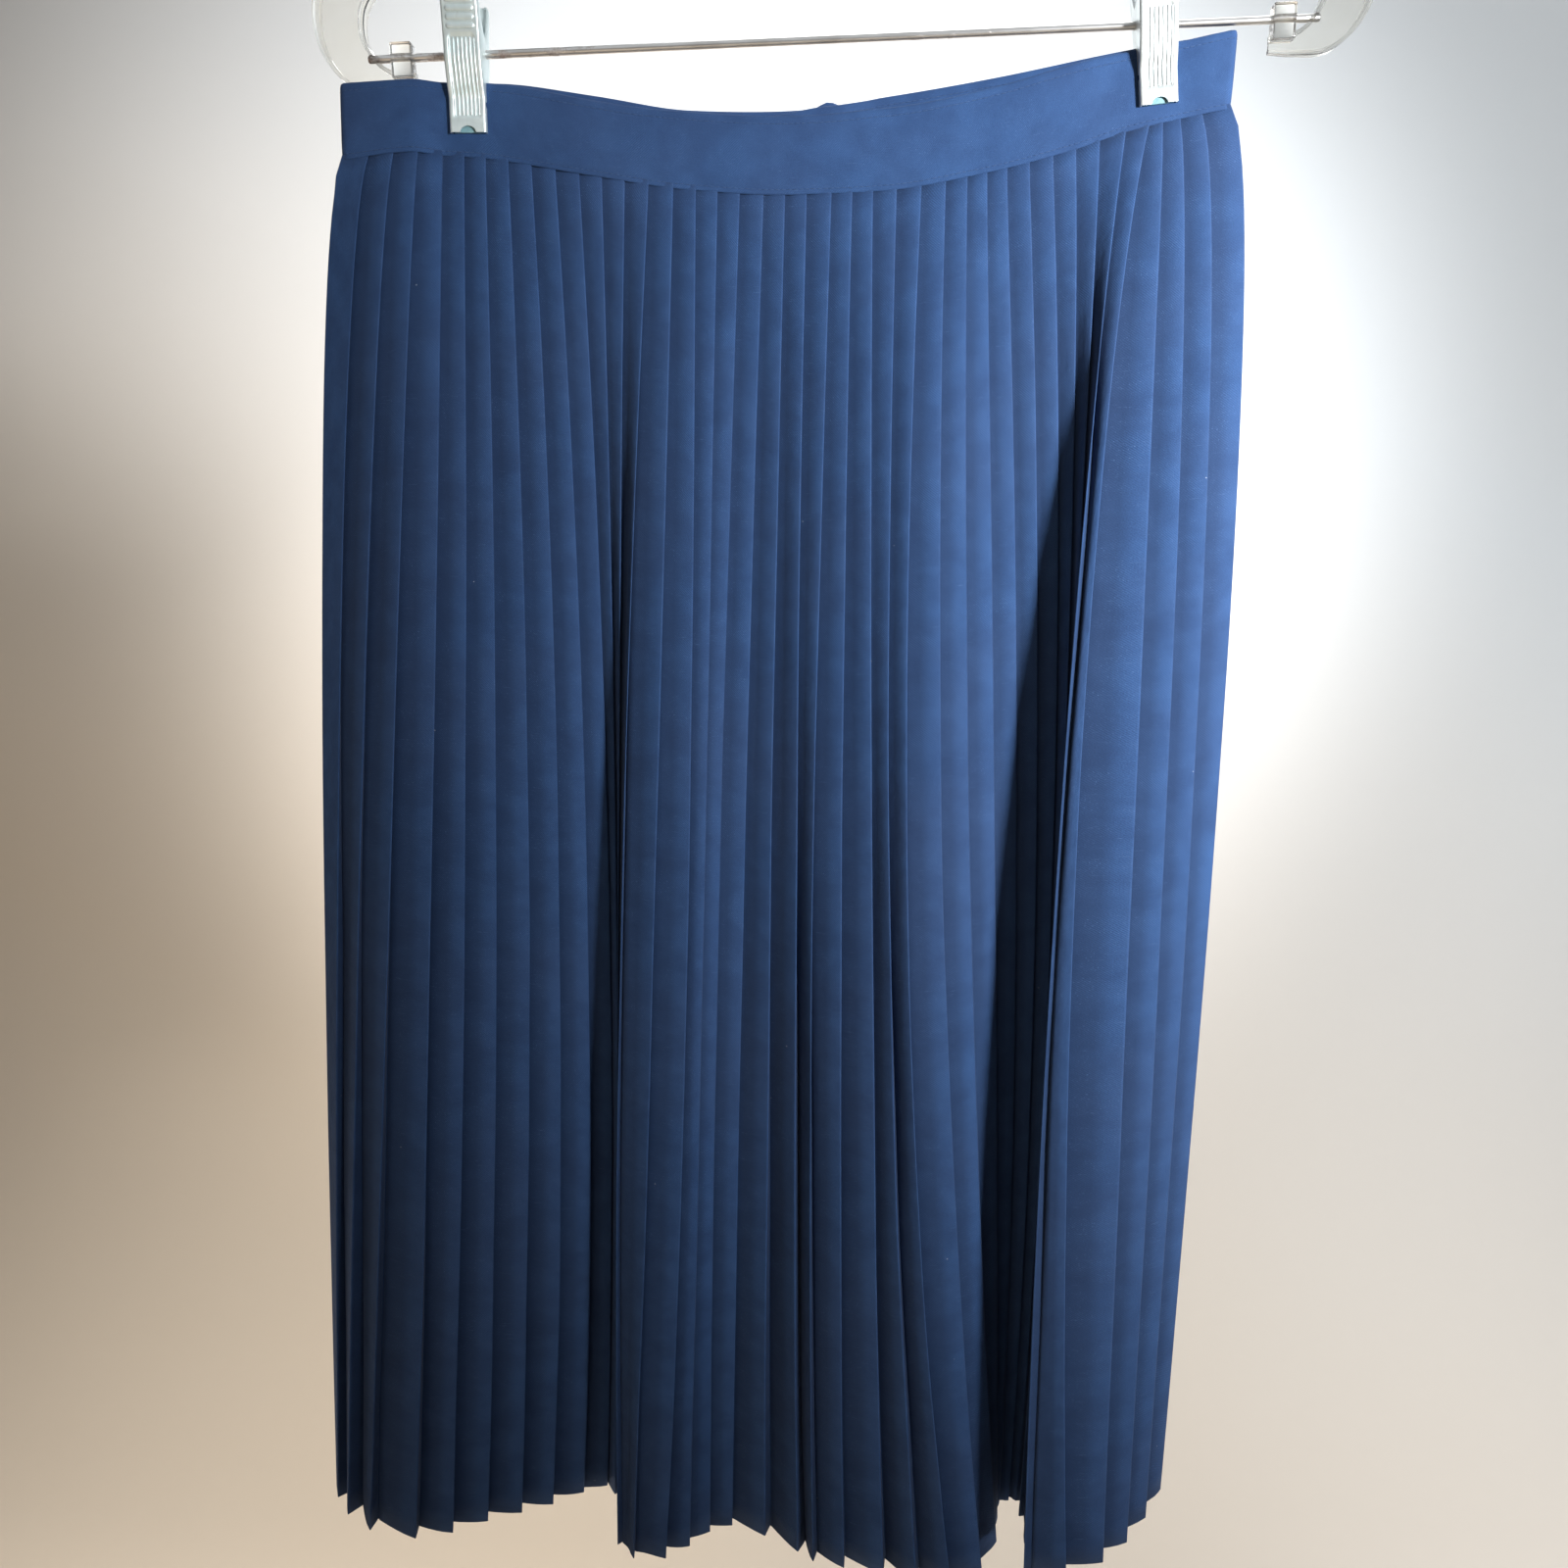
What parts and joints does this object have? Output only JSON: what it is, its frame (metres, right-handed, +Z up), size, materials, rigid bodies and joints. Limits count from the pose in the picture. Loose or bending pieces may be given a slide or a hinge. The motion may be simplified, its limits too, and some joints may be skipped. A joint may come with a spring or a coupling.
{
  "type": "pleated midi skirt on a clip hanger",
  "caption": "Navy wool knife-pleated midi skirt with a narrow waistband, hanging by two steel clips from the rod of a clear plastic hanger.",
  "frame": {"origin": "where the hanger's hook rests on the rail or hook that holds it up, at the top of the wire's inner side", "axes": "+Z up, +X along the waist to the right as one looks at the front, -Y out of the skirt's front"},
  "size_m": [0.4568, 0.0946, 0.8932],
  "materials": {
    "navy_wool_twill": "fine wool twill, matt with a soft nap",
    "navy_button": "polished",
    "navy_zip_tape": "woven tape",
    "enamelled_zip_metal": "enamelled, worn at the edges",
    "clear_plastic": "clear, a little yellowed",
    "plated_steel": "nickel plated, with a little rust",
    "teal_rubber": "matt"
  },
  "bodies": {
    "skirt": {"front": "navy_wool_twill", "back_right": "navy_wool_twill", "back_left": "navy_wool_twill", "waistband": "navy_wool_twill", "button": "navy_button", "zip": "navy_zip_tape", "zip_slider": "enamelled_zip_metal", "hanger": "clear_plastic", "hook": "plated_steel", "rod": "plated_steel", "clip_left_front": "plated_steel", "clip_left_back": "plated_steel", "clip_right_front": "plated_steel", "clip_right_back": "plated_steel", "pad_left_front": "teal_rubber", "pad_left_back": "teal_rubber", "pad_right_front": "teal_rubber", "pad_right_back": "teal_rubber", "spring_left": "plated_steel", "spring_right": "plated_steel"},
    "pull": {"zip_pull": "enamelled_zip_metal"}
  },
  "joints": [
    {"name": "pull_swing", "type": "hinge", "parent": "skirt", "child": "pull", "pos_m": [0.0115, 0.0088, -0.2267], "axis": [1, 0, 0], "range_deg": [0, 150]}
  ]
}
